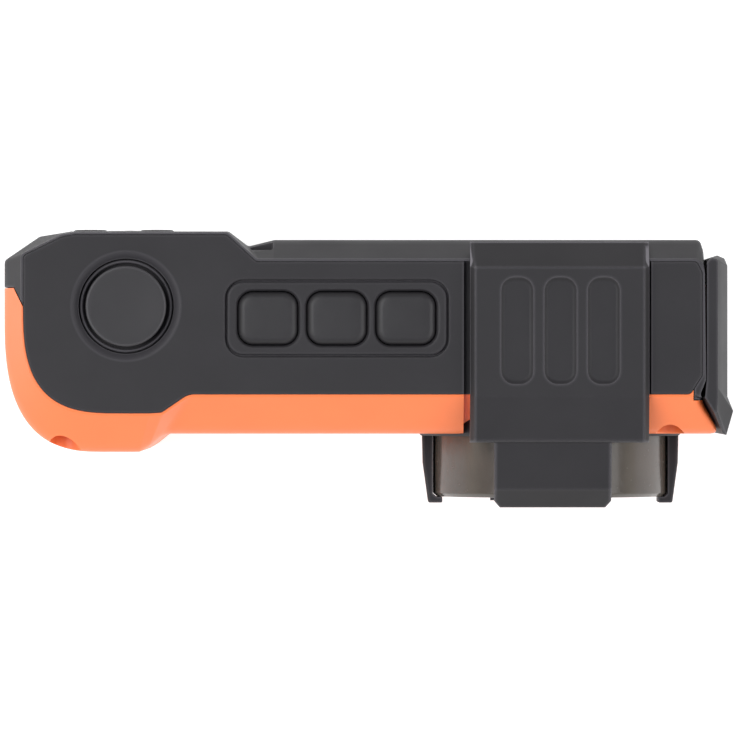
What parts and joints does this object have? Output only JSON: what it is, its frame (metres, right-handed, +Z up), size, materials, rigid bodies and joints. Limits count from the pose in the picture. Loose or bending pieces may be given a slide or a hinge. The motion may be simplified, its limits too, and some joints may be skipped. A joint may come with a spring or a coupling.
{
  "type": "action camera",
  "caption": "Rugged waterproof compact action camera: orange front cover, dark rear cover and top, round shutter button, function keys, bridge and claws over the lens barrel, hinged side door.",
  "frame": {"origin": "on the flat base, under the middle of the body's plan", "axes": "+Z up out of the top plate, -Y out of the lens, +Y out of the screen, -X towards the hand grip, +X towards the side door"},
  "size_m": [0.112, 0.0428, 0.0677],
  "materials": {
    "orange_shell": "satin orange plastic",
    "black_shell": "satin near-black plastic",
    "black_key": "satin near-black plastic",
    "lens_housing": "polished dark plastic",
    "rubber": "matte black rubber",
    "seal": "red silicone",
    "glass": "clear glass",
    "screen_glass": "black glossy screen cover",
    "steel": "brushed steel",
    "brass": "machined brass",
    "circuit": "green circuit board",
    "component": "matte black plastic",
    "battery_wrap": "printed battery sleeve"
  },
  "bodies": {
    "camera_body": {"front_cover": "orange_shell", "rear_cover": "black_shell", "top_panel": "black_shell", "top_bracket": "black_shell", "lens_guard": "black_shell", "lens_bezel": "black_shell", "key_bezel": "black_shell", "shutter_collar": "black_shell", "side_frame": "black_shell", "lens_holder": "black_key", "lens_barrel": "lens_housing", "grip_pad": "rubber", "window_seal": "rubber", "shutter_seal": "seal", "lens_window": "glass", "front_element": "glass", "rear_element": "glass", "flash_window": "glass", "screen_window": "screen_glass", "strap_bar": "steel", "shutter_spring": "steel", "door_hinge_pin": "steel", "processor": "steel", "usb_socket": "steel", "card_socket": "steel", "front_screw_1": "steel", "front_screw_2": "steel", "front_screw_3": "steel", "front_screw_4": "steel", "tripod_bush": "brass", "sensor_board": "circuit", "top_board": "circuit", "rear_key_board": "circuit", "main_board": "circuit", "io_board": "circuit", "image_sensor": "component", "element_spacer": "component", "screen_panel": "component", "battery_cradle": "component", "memory_card": "component", "flash_lamp": "component", "speaker": "component", "battery": "battery_wrap"},
    "shutter": {"shutter_button": "black_key"},
    "function_key_1": {"function_key_1": "black_key"},
    "function_key_2": {"function_key_2": "black_key"},
    "function_key_3": {"function_key_3": "black_key"},
    "zoom_in_key": {"zoom_in_key": "black_key"},
    "zoom_out_key": {"zoom_out_key": "black_key"},
    "up_key": {"up_key": "black_key"},
    "down_key": {"down_key": "black_key"},
    "left_key": {"left_key": "black_key"},
    "right_key": {"right_key": "black_key"},
    "confirm_key": {"confirm_key": "black_key"},
    "menu_key": {"menu_key": "black_key"},
    "playback_key": {"playback_key": "black_key"},
    "door": {"side_door": "black_shell", "door_seal": "seal"},
    "latch": {"door_latch": "black_key"}
  },
  "joints": [
    {"name": "shutter_press", "type": "slide", "parent": "camera_body", "child": "shutter", "axis": [0, 0, -1], "range_m": [0, 0.001], "stiffness_N_per_m": 1200, "springref_m": -0.0005, "deforming": ["shutter_spring"]},
    {"name": "function_key_1_press", "type": "slide", "parent": "camera_body", "child": "function_key_1", "axis": [0, 0, -1], "range_m": [0, 0.0005], "stiffness_N_per_m": 1500, "springref_m": -0.0003},
    {"name": "function_key_2_press", "type": "slide", "parent": "camera_body", "child": "function_key_2", "axis": [0, 0, -1], "range_m": [0, 0.0005], "stiffness_N_per_m": 1500, "springref_m": -0.0003},
    {"name": "function_key_3_press", "type": "slide", "parent": "camera_body", "child": "function_key_3", "axis": [0, 0, -1], "range_m": [0, 0.0005], "stiffness_N_per_m": 1500, "springref_m": -0.0003},
    {"name": "zoom_in_press", "type": "slide", "parent": "camera_body", "child": "zoom_in_key", "axis": [0, -1, 0], "range_m": [0, 0.0004], "stiffness_N_per_m": 1500, "springref_m": -0.0003},
    {"name": "zoom_out_press", "type": "slide", "parent": "camera_body", "child": "zoom_out_key", "axis": [0, -1, 0], "range_m": [0, 0.0004], "stiffness_N_per_m": 1500, "springref_m": -0.0003},
    {"name": "up_press", "type": "slide", "parent": "camera_body", "child": "up_key", "axis": [0, -1, 0], "range_m": [0, 0.0004], "stiffness_N_per_m": 1500, "springref_m": -0.0003},
    {"name": "down_press", "type": "slide", "parent": "camera_body", "child": "down_key", "axis": [0, -1, 0], "range_m": [0, 0.0004], "stiffness_N_per_m": 1500, "springref_m": -0.0003},
    {"name": "left_press", "type": "slide", "parent": "camera_body", "child": "left_key", "axis": [0, -1, 0], "range_m": [0, 0.0004], "stiffness_N_per_m": 1500, "springref_m": -0.0003},
    {"name": "right_press", "type": "slide", "parent": "camera_body", "child": "right_key", "axis": [0, -1, 0], "range_m": [0, 0.0004], "stiffness_N_per_m": 1500, "springref_m": -0.0003},
    {"name": "confirm_press", "type": "slide", "parent": "camera_body", "child": "confirm_key", "axis": [0, -1, 0], "range_m": [0, 0.0004], "stiffness_N_per_m": 1500, "springref_m": -0.0003},
    {"name": "menu_press", "type": "slide", "parent": "camera_body", "child": "menu_key", "axis": [0, -1, 0], "range_m": [0, 0.0004], "stiffness_N_per_m": 1500, "springref_m": -0.0003},
    {"name": "playback_press", "type": "slide", "parent": "camera_body", "child": "playback_key", "axis": [0, -1, 0], "range_m": [0, 0.0004], "stiffness_N_per_m": 1500, "springref_m": -0.0003},
    {"name": "door_hinge", "type": "hinge", "parent": "camera_body", "child": "door", "pos_m": [0.0535, 0.0109, 0.034], "axis": [0, 0, 1], "range_deg": [0, 110]},
    {"name": "latch_slide", "type": "slide", "parent": "door", "child": "latch", "axis": [0, 0, 1], "range_m": [0, 0.005]}
  ]
}
